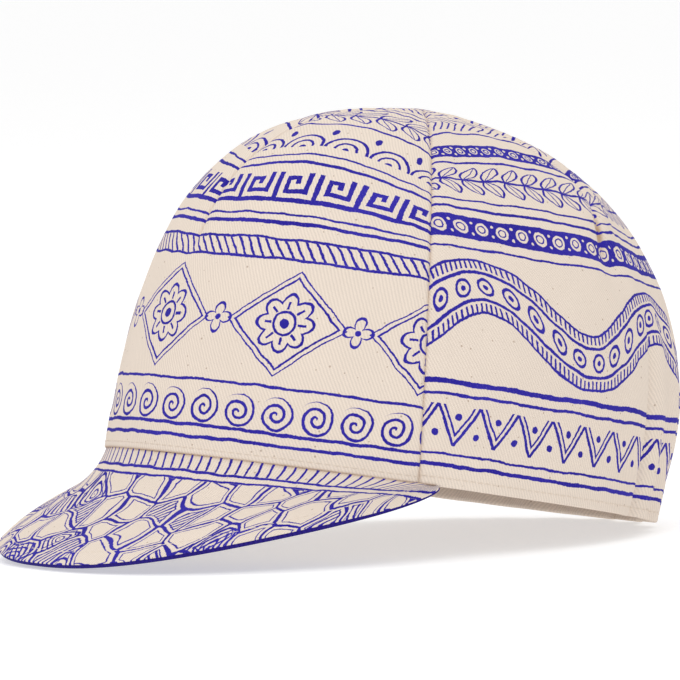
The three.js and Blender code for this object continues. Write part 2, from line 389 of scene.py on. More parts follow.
def shell(name, outer, inner):
    """Closed sheet of cloth: a grid drawn out into a wall, whose faces take the given places."""
    high, wide = outer.shape[:2]
    made = bmesh.new()
    bmesh.ops.create_grid(made, x_segments=wide - 1, y_segments=high - 1, size=1)
    grown = bmesh.ops.extrude_face_region(made, geom=made.faces[:])["geom"]
    facing = [item for item in grown if isinstance(item, bmesh.types.BMVert)]
    bmesh.ops.translate(made, verts=facing, vec=(0, 0, 1))
    mesh = bpy.data.meshes.new(name)
    made.to_mesh(mesh)
    made.free()
    place = np.empty(len(mesh.vertices) * 3)
    mesh.vertices.foreach_get("co", place)
    place = place.reshape(-1, 3)
    column = np.rint((place[:, 0] + 1) / 2 * (wide - 1)).astype(int)
    row = np.rint((place[:, 1] + 1) / 2 * (high - 1)).astype(int)
    outside = place[:, 2] > 0.5
    spots = np.where(outside[:, None], outer[row, column], inner[row, column])
    mesh.vertices.foreach_set("co", placed(spots).ravel())
    return mesh, row, column, outside


def add_uv(mesh, row, column, sets, stop):
    """Lays the cloth coordinates on the faces, each from its own side of the dart."""
    corners = np.empty(len(mesh.loops), dtype=int)
    mesh.loops.foreach_get("vertex_index", corners)
    corners = corners.reshape(-1, 4)
    right = (column[corners].min(axis=1) >= stop)[:, None, None]
    rows, columns = row[corners], column[corners]
    spots = np.where(right, sets[1][rows, columns], sets[0][rows, columns])
    layer = mesh.uv_layers.new(name="cloth")
    layer.uv.foreach_set("vector", (spots * UV_PER_MM).ravel())


def add_value(mesh, name, values):
    mesh.attributes.new(name, "FLOAT", "POINT").data.foreach_set("value", values)


def add_object(name, data):
    made = bpy.data.objects.new(name, data)
    bpy.context.scene.collection.objects.link(made)
    return made


def make_piece(name, made, mesh, material):
    """Fills a mesh and makes it a smooth piece of one material."""
    made.to_mesh(mesh)
    made.free()
    mesh.shade_smooth()
    mesh.materials.append(material)
    piece = add_object(name, mesh)
    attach(piece, "root")
    return piece


def finish_cloth(name, mesh, material, node):
    """Closes the poles and rolled edges of a sheet, and makes it a piece."""
    made = bmesh.new()
    made.from_mesh(mesh)
    bmesh.ops.remove_doubles(made, verts=made.verts[:], dist=WELD)
    piece = make_piece(name, made, mesh, material)
    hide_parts(node)
    return piece


def line_at(grid, heights, wanted):
    """The line across a grid at one height, column by column."""
    line = []
    for column in range(grid.shape[1]):
        order = np.argsort(heights[:, column])
        up = heights[order, column]
        line.append([np.interp(wanted, up, grid[order, column, axis]) for axis in range(3)])
    return np.array(line)


def stitch_row(name, grid, heights, wanted, outside):
    """Row of sewn stitches that lie on the cloth, a joined mesh; outside is 1 or -1."""
    line = line_at(grid, heights, wanted)
    beside = line_at(grid, heights, wanted + STITCH.probe)
    way = walk(line, 0)
    count = int(way[-1] / STITCH.pitch)
    places = (np.arange(count) + 0.5) * way[-1] / count
    ahead = np.gradient(line, axis=0)
    facing = np.cross(beside - line, ahead)
    made = bmesh.new()
    for spot in places:
        middle, forward, out = (Vector([np.interp(spot, way, row[:, axis]) for axis in range(3)])
                                for row in (line, ahead, facing))
        forward.normalize()
        out = out.normalized() * outside
        side = out.cross(forward).normalized()
        middle = middle + out * STITCH.proud
        axes = (side * STITCH.wide, out * STITCH.high, forward * STITCH.long)
        turn = TURN_BACK @ Matrix([axis / 2 for axis in axes]).transposed()
        place = (TURN_BACK @ middle) * MM + STAND
        shape = Matrix.Translation(place) @ (turn * MM).to_4x4()
        bmesh.ops.create_uvsphere(made, u_segments=STITCH.sides, v_segments=STITCH.rings,
                                  radius=1, matrix=shape)
    make_piece(name, made, bpy.data.meshes.new(name), thread)


def rolled_in(rim, radius):
    """Depth by which a rounded edge falls away, at a distance in from it."""
    into = np.clip(radius - rim, 0, radius)
    return radius - np.sqrt(np.maximum(radius ** 2 - into ** 2, 0))


def crown_panel(name, node, lines, counts, dart_end, material):
    """One panel of the crown between its sewn lines, with its row of stitches."""
    climbs = even_climbs(ROW_STEP)
    turns, stops = lobes(lines, counts, climbs)
    climb = np.broadcast_to(climbs[:, None], turns.shape).copy()
    up = walk(crown_point(turns, climb), 0)
    height = relief(turns, climb, up)
    rolled = rolled_in(up, WALL / 2)
    outer = crown_point(turns, climb, height - rolled)
    lines_near = seam_distances(turns, climb)
    flap = strongest(sewn * (1 - smooth(gap, *INSIDE.flap_edge)) for gap, sewn in lines_near)
    hem = (1 - smooth(up, *INSIDE.hem_edge)) * smooth(up, 0, INSIDE.hem_start)
    depth = WALL + INSIDE.fold * np.maximum(flap, hem)
    soft = gather_folds(turns, climb)
    inner_height = np.minimum(soft, height + INSIDE.loose) - depth + rolled
    inner = crown_point(turns, climb, inner_height)
    inner[0] = outer[0]
    mesh, row, column, outside = shell(name, outer, inner)
    add_uv(mesh, row, column, cloth_places(turns, climb, stops, dart_end), stops[1])
    # The "seam" attribute holds three things. The seams' darker tone, with painted shade in their
    # grooves. A painted shadow line along the crown's edge over the peak. The painted shadow of the
    # rear dart's tuck.
    seam = strongest(SEAM_TONE_AND_SHADE.strength * sewn * bump(gap, SEAM_TONE_AND_SHADE.wide)
                     for gap, sewn in lines_near[:3])
    over_peak = np.abs(turns) < math.radians(PEAK.corner_turn)
    seam = np.maximum(seam, bump(up, SEAM_TONE_AND_SHADE.joint_wide) * over_peak)
    aside = (np.abs(turns) - rear_dart(climb)) * radius_at(turns, climb)
    # Painted shadow in the tuck's valley, just above the rear dart's end
    below = below_dart(REAR_DART.end, climb)
    shade = bump(aside + TUCK_SHADE.inside, TUCK_SHADE.wide)
    shade = TUCK_SHADE.strength * shade * bump(below + TUCK_SHADE.above, TUCK_SHADE.high)
    add_value(mesh, "seam", np.maximum(seam, shade)[row, column])
    reverse = np.where(outside, 0, smooth(up, *INSIDE.plain_from)[row, column])
    add_value(mesh, "reverse", reverse)
    piece = finish_cloth(name, mesh, material, node)
    above = STITCH.above_joint if node == "front_panel" else STITCH.above_hem
    stitch_row(node.replace("panel", "stitches"), outer, up, above, -1)
    return piece


# Materials


def plug(tree, socket, value):
    """Gives a socket a field, another socket or a fixed value."""
    value = value.socket if isinstance(value, Field) else value
    if isinstance(value, bpy.types.NodeSocket):
        tree.links.new(value, socket)
    else:
        socket.default_value = value


def add_node(tree, kind, inputs, **settings):
    node = tree.nodes.new("ShaderNode" + kind)
    for name, value in settings.items():
        setattr(node, name, value)
    for name, value in inputs.items():
        plug(tree, node.inputs[name], value)
    return node


class Field:
    """A number that varies over a surface, held by one socket of a material."""

    def __init__(self, tree, socket):
        self.tree = tree
        self.socket = socket

    def calc(self, operation, *others, clamp=False):
        inputs = dict(enumerate((self, *others)))
        node = add_node(self.tree, "Math", inputs, operation=operation, use_clamp=clamp)
        return Field(self.tree, node.outputs[0])

    def scaled(self, factor, rest, clamp=False):
        """This field times a factor, plus the rest."""
        return self.calc("MULTIPLY_ADD", factor, rest, clamp=clamp)

    def __add__(self, other):
        return self.calc("ADD", other)

    def __sub__(self, other):
        return self.calc("SUBTRACT", other)

    def __mul__(self, other):
        return self.calc("MULTIPLY", other)

    def __abs__(self):
        return self.calc("ABSOLUTE")

    def wrapped(self, period):
        """Signed distance to the nearest multiple of the period."""
        return self.calc("WRAP", period / 2, -period / 2)

    def folded(self, period):
        """Plain distance to the nearest multiple of the period."""
        return self.calc("PINGPONG", period / 2)

    def either(self, other):
        return self.calc("MAXIMUM", other)

    def opposite(self):
        """One less this field."""
        return self.scaled(-1, 1, clamp=True)


def both_parts(x, y, first, second):
    """The sum of two fields, each times a number."""
    return (x * first).calc("ADD", y * second)


# The print. Widths of pen strokes and sizes of motifs are in millimetres of flat cloth.
INK_SOFTNESS = 0.16
PEN = 1.06
SCROLL = Sizes(pitch=2.7, margin=0.6, pen=0.95, base_up=0.4, base_pen=1.1)
ROSETTE = Sizes(petals=4, deep=2.6, out=7, pen=1, ring=3.8, ring_pen=0.8,
                eye=1.7, vein=(4.6, 7.2), vein_pen=3.2)
FLOWER = Sizes(petals=2, deep=3, out=1.8, pen=0.9, eye=1)
LOZENGE = Sizes(steep=1.15, inner=17.5, inner_pen=1, outer=20, outer_pen=0.7)
ROPE = Sizes(slant=0.9, every=3.4, pen=1)
SCALLOP = Sizes(margin=0.7, pen=1, inner_pen=0.8, eye=1.3,
                drop=1.1, drop_up=0.62, drop_squash=0.55)
LEAF = Sizes(slant=-0.95, fat=0.36, pen=0.95, rib_pen=0.5, stem_pen=0.9)
ZIGZAG = Sizes(pen=1, inner_gap=1.76, inner_pen=0.7, dot=1.2, dot_off=0.22)
BEAD = Sizes(ring=0.55, ring_pen=0.5, pip=0.55, pip_off=0.24)
RIBBON = Sizes(edge_pen=1, outer=4.2, outer_pen=0.8, hatch_every=1.9, hatch_pen=0.75,
               hatch=2.6, pearl_every=9, pearl=2.6, pearl_pen=0.9, eye=0.9)
CHEVRON = Sizes(slant=1.2, pen=0.9)
MEANDER = [0b11111111, 0b00000001, 0b01111101, 0b01000101, 0b01010101, 0b01011101, 0b01000001]
BIT_MARGIN = 0.002
CELL = Sizes(wide=13, uneven=0.8, bend=10, bend_every=15,
             wall_pen=1.1, inner=1.9, inner_pen=0.45, filled=1.5, from_root=(9, 400))
FILLING_PEN = 0.8
HATCH = Sizes(slant=(0.8, 0.6), every=2, above=0.84)
COUNTER_HATCH = Sizes(slant=(-0.7, 0.7), every=2.3, below=0.14)
RINGS = Sizes(every=2.2, above=0.72)
FRINGE = Sizes(every=3.6, up=(-2, 5.5))
PEAK_LINES = [(6, 0.9), (8.6, 0.8)]


def fill(distance):
    """Ink where the distance is below nothing."""
    return distance.scaled(-1 / INK_SOFTNESS, 0.5, clamp=True)


def stroke(distance, width):
    """A drawn line along nought, of some width."""
    reach_out = width * PEN / 2 / INK_SOFTNESS + 0.5
    return abs(distance).scaled(-1 / INK_SOFTNESS, reach_out, clamp=True)


def band(height, low, high):
    """Ink over a band of heights."""
    return fill(abs(height - (low + high) / 2) - (high - low) / 2)


def union(marks):
    total = marks[0]
    for mark in marks[1:]:
        total = total.either(mark)
    return total


def span(x, y):
    """Distance from the point where both fields are nothing."""
    square = x * x
    return y.scaled(y, square).calc("SQRT")


def ruled_lines(y, lines):
    return union([stroke(y - height, width) for height, width in lines])


def running_scroll(x, y, middle, period):
    """Row of spirals that stand on a line."""
    across, up = x.wrapped(period), y - middle
    far = span(across, up)
    turn = up.calc("ARCTAN2", across)
    winding = turn.scaled(-SCROLL.pitch / math.tau, far).wrapped(SCROLL.pitch)
    inside = fill(far - (period / 2 - SCROLL.margin))
    base = stroke(y - (middle - period / 2 + SCROLL.base_up), SCROLL.base_pen)
    return (stroke(winding, SCROLL.pen) * inside).either(base)


def blossom(across, up, shape):
    """Outline and eye of a flower, with the distance from its middle and its petals' turn."""
    far = span(across, up)
    turn = up.calc("ARCTAN2", across) * shape.petals
    edge = abs(turn.calc("COSINE")).scaled(-shape.deep, far)
    return [stroke(edge - shape.out, shape.pen), fill(far - shape.eye)], far, turn


def rosette_lozenges(x, y, middle, period):
    """Row of eight-petalled rosettes in lozenges, with small flowers between them."""
    across, up = x.wrapped(period), y - middle
    rosette, far, turn = blossom(across, up, ROSETTE)
    flower, _, _ = blossom((x + period / 2).wrapped(period), up, FLOWER)
    lozenge = abs(across) + abs(up) * LOZENGE.steep
    return union([
        *rosette,
        *flower,
        stroke(far - ROSETTE.ring, ROSETTE.ring_pen),
        stroke(turn.calc("SINE") * far, ROSETTE.vein_pen) * band(far, *ROSETTE.vein),
        stroke(lozenge - LOZENGE.inner, LOZENGE.inner_pen),
        stroke(lozenge - LOZENGE.outer, LOZENGE.outer_pen),
    ])


def level_band(y, middle, high):
    return band(y, middle - high / 2, middle + high / 2)


def rope(x, y, middle, high):
    slant = (y - middle).scaled(ROPE.slant, x).folded(ROPE.every)
    return stroke(slant, ROPE.pen) * level_band(y, middle, high)


def key_band(x, y, low, cell, rows_of_chart):
    """Angular meander, from a chart of bits: a row of numbers, lowest row first."""
    tree = x.tree
    count = len(rows_of_chart)
    wide = max(rows_of_chart).bit_length()
    step_up = ((y - low) * (1 / cell)).calc("FLOOR")
    share = step_up.scaled(1 / count, 0.5 / count)
    chart = add_node(tree, "ValToRGB", {0: share})
    chart.color_ramp.interpolation = "CONSTANT"
    stops = chart.color_ramp.elements
    while len(stops) < count:
        stops.new(0.5)
    scale = 2 ** wide
    for index, bits in enumerate(rows_of_chart):
        stops[index].position = index / count
        stops[index].color = (bits / scale,) * 3 + (1,)
    row_bits = Field(tree, chart.outputs[0]) * scale
    column = (x * (1 / cell)).calc("FLOOR").calc("WRAP", float(wide), 0)
    exponent = add_node(tree, "Math", {0: 2, 1: column}, operation="POWER")
    shifted = row_bits.calc("DIVIDE", Field(tree, exponent.outputs[0]))
    bit = (shifted + BIT_MARGIN).calc("FLOOR").calc("MODULO", 2)
    return bit * band(y, low, low + cell * count)


def scallops(x, y, low, period):
    """Row of nested arches with a drop between them."""
    up = y - low
    far = span(x.wrapped(period), up)
    between = (x + period / 2).wrapped(period)
    drop = span(between, (up - period * SCALLOP.drop_up) * SCALLOP.drop_squash)
    arches = union([
        stroke(far - (period / 2 - SCALLOP.margin), SCALLOP.pen),
        stroke(far - period / 4, SCALLOP.inner_pen),
        fill(far - SCALLOP.eye),
    ])
    return (arches * up.calc("GREATER_THAN", 0)).either(fill(drop - SCALLOP.drop))


def leaves(x, y, middle, period, long):
    """Garland of paired leaves on a stem."""
    up = abs(y - middle)
    slant = (up * LEAF.slant).calc("ADD", x).wrapped(period)
    share = (up * (2 / long)) - 1
    fat = (share * share).scaled(-period * LEAF.fat, period * LEAF.fat)
    edge = abs(slant) - fat
    rib = stroke(slant, LEAF.rib_pen) * fill(edge)
    outline = stroke(edge, LEAF.pen) * band(up, 0, long)
    return union([outline, rib, stroke(y - middle, LEAF.stem_pen)])


def zigzag(x, y, middle, high, period):
    """Double zigzag with a dot in each bay."""
    rise = high / (period / 2)
    line = (y - (middle - high / 2)) - x.folded(period) * rise
    steep = math.hypot(1, rise)
    upper = span(x.wrapped(period), y - (middle + high * ZIGZAG.dot_off))
    lower = span((x + period / 2).wrapped(period), y - (middle - high * ZIGZAG.dot_off))
    return union([
        stroke(line, ZIGZAG.pen * steep),
        stroke(line - ZIGZAG.inner_gap * steep, ZIGZAG.inner_pen * steep),
        fill(upper - ZIGZAG.dot),
        fill(lower - ZIGZAG.dot),
    ]) * level_band(y, middle, high)


def bead_band(x, y, middle, high, period, bead):
    """Inked band with bare beads and dots in it."""
    far = span(x.wrapped(period), y - middle)
    pip = span((x + period / 2).wrapped(period), abs(y - middle) - high * BEAD.pip_off)
    ring = fill(far - bead) * stroke(far - bead * BEAD.ring, BEAD.ring_pen).opposite()
    bare = ring.either(fill(pip - BEAD.pip))
    return level_band(y, middle, high) * bare.opposite()


def ribbon(x, y, middle, swing, period, half):
    """Waving ribbon of circles between two lines."""
    turn = x * (math.tau / period)
    up = turn.calc("SINE").scaled(-swing, y - middle)
    slope = turn.calc("COSINE") * (swing * math.tau / period)
    stretch = (slope * slope + 1).calc("SQRT")
    level = up.calc("DIVIDE", stretch)
    pearl = span(x.wrapped(RIBBON.pearl_every), level)
    border = stroke(abs(level) - (half + RIBBON.hatch), RIBBON.hatch)
    return union([
        stroke(abs(level) - half, RIBBON.edge_pen),
        stroke(abs(level) - (half + RIBBON.outer), RIBBON.outer_pen),
        stroke(pearl - RIBBON.pearl, RIBBON.pearl_pen),
        fill(pearl - RIBBON.eye),
        stroke(x.folded(RIBBON.hatch_every), RIBBON.hatch_pen) * border,
    ])


def chevrons(x, y, middle, high, period):
    slant = ((abs(y - middle) * CHEVRON.slant) + x).folded(period)
    return stroke(slant, CHEVRON.pen) * level_band(y, middle, high)


def front_print(x, y):
    return union([
        ruled_lines(y, FRONT_LINES),
        running_scroll(x, y, middle=15.8, period=13),
        rosette_lozenges(x, y, middle=45.5, period=48),
        rope(x, y, middle=70, high=6),
        key_band(x, y, low=86.5, cell=1.75, rows_of_chart=MEANDER),
        scallops(x, y, low=111.5, period=15),
        leaves(x, y, middle=138.5, period=9, long=7.5),
        rope(x, y, middle=160.5, high=7),
    ])


def side_print(x, y):
    return union([
        ruled_lines(y, SIDE_LINES),
        zigzag(x, y, middle=20, high=13, period=15),
        ribbon(x, y, middle=57, swing=10, period=86, half=4.6),
        bead_band(x, y, middle=88, high=9, period=8, bead=2.6),
        leaves(x, y, middle=110, period=8.5, long=6.5),
        bead_band(x, y, middle=125.5, high=6.5, period=6, bead=1.7),
        chevrons(x, y, middle=144, high=11, period=3.6),
        rope(x, y, middle=162, high=7),
    ])


def joined(tree, x, y):
    """Two fields as one vector socket."""
    return add_node(tree, "CombineXYZ", {0: x, 1: y}).outputs[0]


def peak_print(x, y):
    """Net of uneven cells, some of them hatched or ringed, behind a fringe along the seam."""
    tree = x.tree
    sway = noises(tree, joined(tree, x, y), CELL.bend_every, 0)
    bent = joined(tree, *(part.scaled(CELL.bend, value) for part, value in zip(sway, (x, y))))
    edges = scattered(tree, bent, CELL.wide, CELL.uneven, "DISTANCE_TO_EDGE")
    cells = scattered(tree, bent, CELL.wide, CELL.uneven)
    wall = Field(tree, edges.outputs["Distance"]) * CELL.wide
    heart = Field(tree, cells.outputs["Distance"]) * CELL.wide
    lot, other = lots(tree, cells)
    hatch = stroke(both_parts(x, y, *HATCH.slant).folded(HATCH.every), FILLING_PEN)
    counter_way = both_parts(x, y, *COUNTER_HATCH.slant)
    counter = stroke(counter_way.folded(COUNTER_HATCH.every), FILLING_PEN)
    hatched = (hatch * lot.calc("GREATER_THAN", HATCH.above)).either(
        counter * lot.calc("LESS_THAN", COUNTER_HATCH.below))
    rings = stroke(heart.folded(RINGS.every), FILLING_PEN)
    cellwork = union([
        stroke(wall, CELL.wall_pen),
        stroke(wall - CELL.inner, CELL.inner_pen),
        hatched * fill((wall * -1) + CELL.filled),
        rings * other.calc("GREATER_THAN", RINGS.above),
    ])
    return union([
        cellwork * band(y, *CELL.from_root),
        stroke(x.folded(FRINGE.every), FILLING_PEN) * band(y, *FRINGE.up),
        ruled_lines(y, PEAK_LINES),
    ])


CREAM = (0.815, 0.705, 0.605)
INK = (0.036, 0.026, 0.375)
INK_DARK = (0.022, 0.015, 0.295)
BLUE_CLOTH = (0.026, 0.015, 0.230)
BLUE_CLOTH_DARK = (0.011, 0.005, 0.130)
# Brown mixed in by the "seam" attribute: the seams' darker thread tone, and painted shade at the
# seams, the peak joint and the tuck
SEAM_SHADE = (0.46, 0.31, 0.20)
SEAM_SHADE_WEIGHT = 0.75
THREAD = (0.80, 0.69, 0.585)
THREAD_DARK = (0.68, 0.58, 0.48)
THREAD_PLY = 0.0004
TWILL = Sizes(pitch=1, uneven=0.35, uneven_every=1.6, rib_share=0.75, cross_pitch=0.62)
TWILL_LEAN = math.radians(31)
PEAK_TWILL_LEAN = 0.15
TONE = Sizes(base=0.85, weave=0.17, cloud=0.08, cloud_every=26)
FLECK = Sizes(colour=(0.30, 0.19, 0.12), every=4.2, least=0.02, spread=0.065,
              sharpness=60, above=0.7, strength=0.55)
HAND = Sizes(sway=1.7, sway_every=9, creep=0.6, creep_every=1.1)
INKING = Sizes(base=0.80, worn=0.35, worn_every=0.7, weave=0.14, cloud=3,
               cloud_from=-1, gone_inside=0.86)
BLUE_GRAIN = Sizes(share=0.6, every=1.2)


def new_material(name):
    material = bpy.data.materials.new(name)
    material.use_nodes = True
    material.node_tree.nodes.clear()
    return material, material.node_tree


def noise(tree, vector, wavelength, detail):
    return add_node(tree, "TexNoise", {"Scale": 1 / wavelength, "Detail": detail, "Vector": vector})


def grain(tree, vector, wavelength, detail=2):
    return Field(tree, noise(tree, vector, wavelength, detail).outputs["Fac"])


def noises(tree, vector, wavelength, detail):
    """Three noises that don't go together."""
    return parts_of(tree, noise(tree, vector, wavelength, detail).outputs["Color"])


def colour_mix(tree, share, first, second, blend="MIX"):
    """Colour between two colours or sockets, by a field or a fixed share."""
    node = add_node(tree, "Mix", {0: share}, data_type="RGBA", blend_type=blend)
    for index, value in ((6, first), (7, second)):
        plug(tree, node.inputs[index], (*value, 1) if isinstance(value, tuple) else value)
    return node.outputs[2]


def attribute(tree, name):
    node = add_node(tree, "Attribute", {}, attribute_name=name)
    return Field(tree, node.outputs["Fac"])


def cloth_coordinates(tree):
    """Millimetres along and up the flat cloth."""
    source = add_node(tree, "UVMap", {}, uv_map="cloth")
    inputs = {0: source.outputs[0], "Scale": 1 / UV_PER_MM}
    return add_node(tree, "VectorMath", inputs, operation="SCALE").outputs[0]


def scattered(tree, vector, every, uneven=1, feature="F1"):
    """Cells of a plane, a distance apart."""
    inputs = {"Scale": 1 / every, "Randomness": uneven, "Vector": vector}
    return add_node(tree, "TexVoronoi", inputs, voronoi_dimensions="2D", feature=feature)


def lots(tree, cells):
    """Two chance numbers for each cell."""
    return parts_of(tree, cells.outputs["Color"])[:2]


def wave(field, period):
    """Wave between 0 and 1."""
    return (field * (math.tau / period)).calc("SINE").scaled(0.5, 0.5)


def matt_surface(tree, colour, rise, strength, depth, roughness, gloss, sheen=0):
    """Finishes a material: a matt surface of one colour, with fine relief from a field."""
    bumps = add_node(tree, "Bump", {"Strength": strength, "Distance": depth, "Height": rise})
    surface = add_node(tree, "BsdfPrincipled", {
        "Roughness": roughness, "Specular IOR Level": gloss, "Sheen Weight": sheen,
        "Base Color": colour, "Normal": bumps.outputs[0]})
    add_node(tree, "OutputMaterial", {0: surface.outputs[0]})


def parts_of(tree, vector):
    return [Field(tree, part) for part in add_node(tree, "SeparateXYZ", {0: vector}).outputs]


def drawn_by_hand(tree, vector, x, y):
    """The same coordinates with a drawing hand's wobble and the ink's creep."""
    sway = noises(tree, vector, HAND.sway_every, 1)
    creep = noises(tree, vector, HAND.creep_every, 2)
    middle = (HAND.sway + HAND.creep) / 2
    moved = []
    for value, far, near in zip((x, y), sway, creep):
        swayed = far.scaled(HAND.sway, value - middle)
        moved.append(near.scaled(HAND.creep, swayed))
    return moved


def twill_weave(tree, vector, x, y, lean):
    """Slanting ribs of the twill, crossed by finer threads."""
    along = y.scaled(math.sin(lean), x * math.cos(lean))
    across = x.scaled(-math.sin(lean), y * math.cos(lean))
    uneven = grain(tree, vector, TWILL.uneven_every, 1)
    rib = wave(uneven.scaled(TWILL.uneven, along), TWILL.pitch)
    cross = wave(across, TWILL.cross_pitch)
    return rib.scaled(TWILL.rib_share, cross * (1 - TWILL.rib_share))


def flecked(tree, vector, plain):
    """Cloth colour with scattered brown flecks of seed."""
    cells = scattered(tree, vector, FLECK.every)
    chance, big = lots(tree, cells)
    size = big.scaled(FLECK.spread, FLECK.least)
    inside = Field(tree, cells.outputs["Distance"]) - size
    speck = inside.scaled(-FLECK.sharpness, 0.5, clamp=True)
    speck = speck * chance.calc("GREATER_THAN", FLECK.above) * FLECK.strength
    return colour_mix(tree, speck, plain, FLECK.colour)


def printed_cloth(name, drawing, lean=TWILL_LEAN):
    """Cream cotton twill with a blue print."""
    material, tree = new_material(name)
    vector = cloth_coordinates(tree)
    x, y, _ = parts_of(tree, vector)
    ink = drawing(*drawn_by_hand(tree, vector, x, y))
    weave = twill_weave(tree, vector, x, y, lean)

    cloudy = grain(tree, vector, TONE.cloud_every)
    woven = weave.scaled(TONE.weave, TONE.base)
    tone = cloudy.scaled(TONE.cloud, woven)
    plain = flecked(tree, vector, colour_mix(tree, 1, CREAM, tone, "MULTIPLY"))
    # Painted shade from the "seam" attribute, together with the seams' own darker tone
    plain = colour_mix(tree, attribute(tree, "seam") * SEAM_SHADE_WEIGHT, plain, SEAM_SHADE)

    grip = grain(tree, vector, INKING.worn_every)
    grip = grip.scaled(INKING.worn, weave * INKING.weave)
    grip = grip.calc("ADD", INKING.base, clamp=True)
    dark = cloudy.scaled(INKING.cloud, INKING.cloud_from, clamp=True)
    faded = attribute(tree, "reverse").scaled(-INKING.gone_inside, 1)
    colour = colour_mix(tree, ink * grip * faded, plain, colour_mix(tree, dark, INK, INK_DARK))
    matt_surface(tree, colour, weave, strength=0.6, depth=0.00016,
                 roughness=0.88, gloss=0.08, sheen=0.03)
    return material


def blue_cloth():
    """Plain deep blue twill of the peak's underside."""
    material, tree = new_material("blue_twill")
    vector = cloth_coordinates(tree)
    x, y, _ = parts_of(tree, vector)
    along = y.scaled(math.sin(TWILL_LEAN), x * math.cos(TWILL_LEAN))
    rib = wave(along, TWILL.pitch)
    share = grain(tree, vector, BLUE_GRAIN.every, 3)
    share = share.scaled(BLUE_GRAIN.share, rib * (1 - BLUE_GRAIN.share))
    colour = colour_mix(tree, share, BLUE_CLOTH_DARK, BLUE_CLOTH)
    matt_surface(tree, colour, rib, strength=0.5, depth=0.00010,
                 roughness=0.85, gloss=0.1, sheen=0.04)
    return material


def cotton_thread():
    """Undyed sewing thread, its plies shown as fine marks."""
    material, tree = new_material("cotton_thread")
    source = tree.nodes.new("ShaderNodeTexCoord")
    ply = grain(tree, source.outputs["Object"], THREAD_PLY)
    colour = colour_mix(tree, ply, THREAD_DARK, THREAD)
    matt_surface(tree, colour, ply, strength=0.4, depth=0.00005, roughness=0.8, gloss=0.15)
    return material


# Peak


def peak_root(shares):
    """Where the peak is sewn on, and how far forward its edge is there."""
    way = mix(-PEAK.end_share, PEAK.end_share, shares)[None, :]
    turn = math.radians(PEAK.corner_turn) * way
    ahead = np.abs(np.cos(way * np.pi / 2)) ** (2 / PEAK.roundness)
    inside = reach(turn) - PEAK_ROOT.inset
    rise = 0 * turn + PEAK_ROOT.up
    root = np.stack([inside * np.sin(turn), -inside * np.cos(turn), rise], axis=-1)
    return way, ahead, root


def peak_grid(shares, steps):
    """Upper surface of the peak, from the wearer's right corner to the left, root to edge."""
    way, ahead, root = peak_root(shares)
    out = steps[:, None]
    wide = np.sign(way) * np.abs(np.sin(way * np.pi / 2)) ** (2 / PEAK.roundness)
    forward = mix(PEAK.corner_forward, PEAK.reach, ahead)
    edge = np.stack([PEAK.half_width * wide, -forward, -PEAK.drop * ahead], axis=-1)
    edge = mix(edge, root, (np.abs(way) ** PEAK.corner_closing)[..., None])
    hollow = PEAK.hollow * hollow_at(out) * np.sqrt(ahead / 2)
    lift = (PEAK.side_lift * arch(out) + PEAK.edge_lift * out) * arch(ahead)
    moved = np.stack([0 * hollow, hollow, lift - hollow], axis=-1)
    return mix(root, edge, out[..., None]) + moved


def peak_guide(shares, steps):
    """Plain cone under the peak, which gives its thickness one even direction."""
    _, ahead, root = peak_root(shares)
    out = steps[:, None]
    flare = 1 + PEAK.guide_flare * out
    fall = -PEAK.drop * ahead * out
    return np.stack([root[..., 0] * flare, root[..., 1] * flare, fall], axis=-1)


def outward(grid):
    across = np.gradient(grid, axis=1)
    along = np.gradient(grid, axis=0)
    normal = np.cross(along, across)
    return normal / np.maximum(np.linalg.norm(normal, axis=-1, keepdims=True), 1e-9)


def peak_cover(name, node, material, top):
    """Upper or lower cover of the peak, rolled over at the outer edge to meet the other."""
    shares = crowded(PEAK_MESH.columns, PEAK_MESH.crowding)
    turning = np.sin(np.linspace(0, np.pi / 2, PEAK_MESH.edge_rows))
    plain_steps = np.linspace(0, 1 - PEAK_EDGE.share - PEAK_EDGE.before, PEAK_MESH.rows)
    steps = np.concatenate([plain_steps, 1 - PEAK_EDGE.share * (1 - turning)])
    grid = peak_grid(shares, steps)
    normal = outward(peak_guide(shares, steps))
    up = walk(grid, 0)
    rim = up[-1][None, :] - up
    split = mix(PEAK_EDGE.fold, PEAK_THICK, smooth(rim, *PEAK_EDGE.full_from))
    if top:
        depths = rolled_in(rim, PEAK_EDGE.fold), split
    else:
        _, ahead, _ = peak_root(shares)
        thinning = mix(CORNER_THICK.share, 1, smooth(ahead, *CORNER_THICK.ends))
        lip = PEAK_EDGE.lip * bump(rim - PEAK_EDGE.lip_at, PEAK_EDGE.lip_wide)
        lower = 2 * PEAK_THICK - split + lip - rolled_in(rim, PEAK_EDGE.lower_round)
        depths = split + PEAK_GAP, split + PEAK_GAP + lower * thinning
    outer, inner = (grid - normal * depth[..., None] for depth in depths)
    across = walk(grid, 1)
    across = across - across[:, len(shares) // 2][:, None]
    places = np.stack([across, up], axis=-1)[:, ::-1]
    mesh, row, column, _ = shell(name, outer[:, ::-1], inner[:, ::-1])
    add_uv(mesh, row, column, [places, places], 0)
    # Painted shadow along the root of the peak, under the overlapping edge of the crown
    add_value(mesh, "seam", bump(up, SEAM_TONE_AND_SHADE.peak_wide)[:, ::-1][row, column])
    add_value(mesh, "reverse", np.zeros(len(row)))
    piece = finish_cloth(name, mesh, material, node)
    if top:
        stitch_row("peak_stitches", grid, rim, STITCH.from_edge, 1)
    return piece


# Camera: the photograph's side of the cap, from slightly below the plane of its lower edge
CAMERA = Sizes(side=34.2, above=-2.4, roll=7.42, distance=2500, pixels_per_mm=3.035,
               sees_to=500)
AIM = Sizes(right=-5.14, up=46.5)
FRAME_PIXELS = 680
SENSOR = 36

